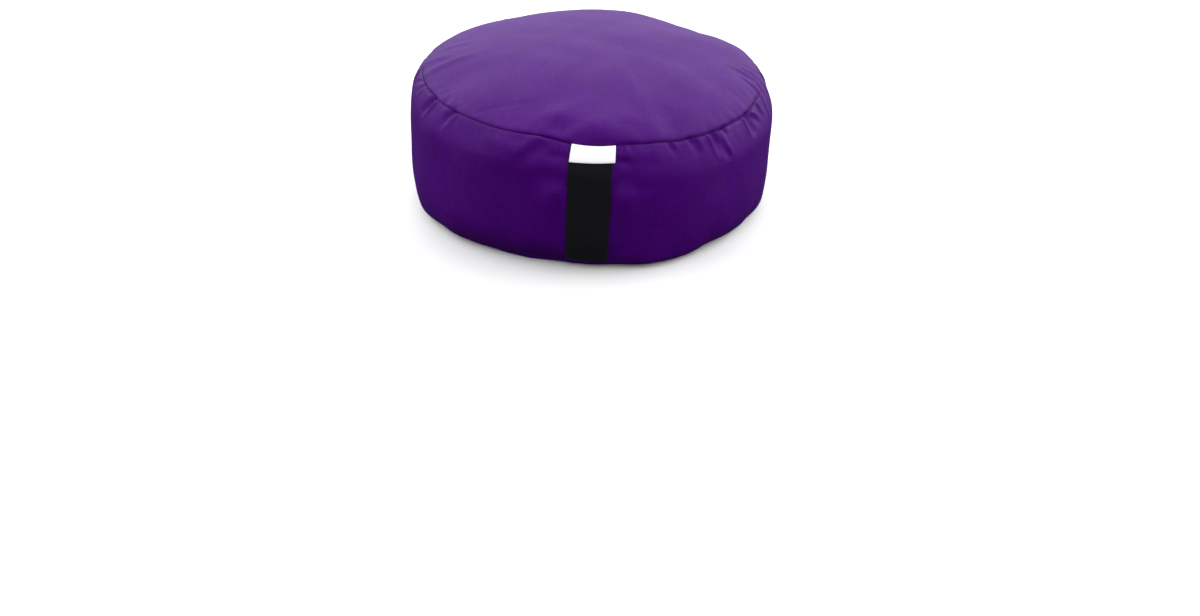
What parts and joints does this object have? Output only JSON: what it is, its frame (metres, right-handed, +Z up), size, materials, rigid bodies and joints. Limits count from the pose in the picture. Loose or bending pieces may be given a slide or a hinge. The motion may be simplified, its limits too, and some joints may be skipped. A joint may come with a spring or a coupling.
{
  "type": "round meditation cushion",
  "caption": "Round filled floor cushion with a crowned top, puckered side band, flat base, webbing carry handle and folded blank label.",
  "frame": {"origin": "centre of the flat base, on the surface that the cushion stands on", "axes": "+Z up through the crown, -Y towards the side with the handle and label, +X to the right seen from that side"},
  "size_m": [0.3503, 0.3492, 0.161],
  "materials": {
    "canvas": "matte purple cotton canvas",
    "webbing": "matte black woven webbing",
    "label_satin": "white woven satin, bare"
  },
  "bodies": {
    "root": {"cushion": "canvas", "carry_strap": "webbing", "folded_label": "label_satin"}
  },
  "joints": []
}
